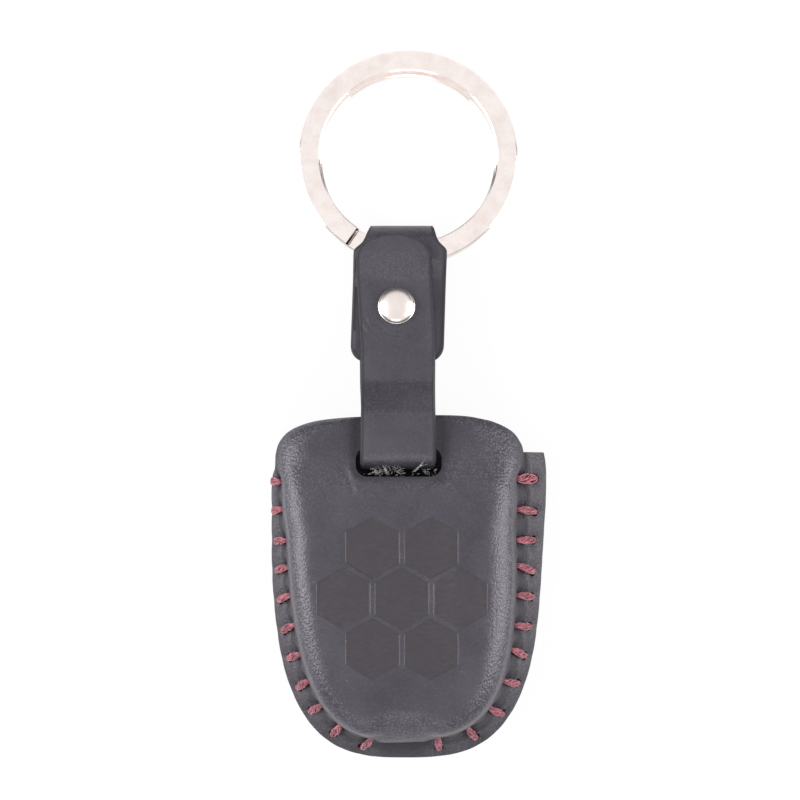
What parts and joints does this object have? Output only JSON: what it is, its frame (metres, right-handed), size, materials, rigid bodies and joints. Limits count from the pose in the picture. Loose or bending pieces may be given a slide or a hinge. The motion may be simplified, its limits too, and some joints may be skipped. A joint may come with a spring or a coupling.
{
  "type": "key case with strap and split ring",
  "caption": "Wet-moulded leather key case, whip-stitched along its sides, with a riveted strap, a folded tab and a flat split ring.",
  "frame": {"origin": "centre of the flat of the back shell that rests on the table", "axes": "+Y along the object from the case to the ring, +Z out of the front shell, +X to the right seen from the front"},
  "size_m": [0.0459, 0.1149, 0.0172],
  "materials": {
    "body_leather": "black moulded cowhide, fine grain, satin",
    "strap_leather": "black cowhide strip, smooth, satin",
    "waxed_thread": "dark red waxed thread",
    "nickel": "polished nickel plate"
  },
  "bodies": {
    "case": {"front_shell": "body_leather", "back_shell": "body_leather", "left_thread": "waxed_thread", "right_thread": "waxed_thread", "strap_loop": "strap_leather"},
    "strap": {"strap_front_leg": "strap_leather", "strap_back_leg": "strap_leather", "rivet_cap": "nickel", "rivet_post": "nickel"},
    "tab": {"ring_tab": "strap_leather"},
    "ring": {"split_ring": "nickel"}
  },
  "joints": [
    {"name": "strap_bend", "type": "hinge", "parent": "case", "child": "strap", "pos_m": [-0.0012, 0.034, 0.0085], "axis": [1, 0, 0], "range_deg": [-50, 50]},
    {"name": "tab_swivel", "type": "hinge", "parent": "strap", "child": "tab", "pos_m": [-0.0012, 0.04569, 0.00688], "axis": [0, 0.1376, 0.9905], "range_deg": [-8, 8]},
    {"name": "ring_swing", "type": "hinge", "parent": "tab", "child": "ring", "pos_m": [-0.0012, 0.0547, 0.00562], "axis": [1, 0, 0], "range_deg": [-60, 60]}
  ]
}
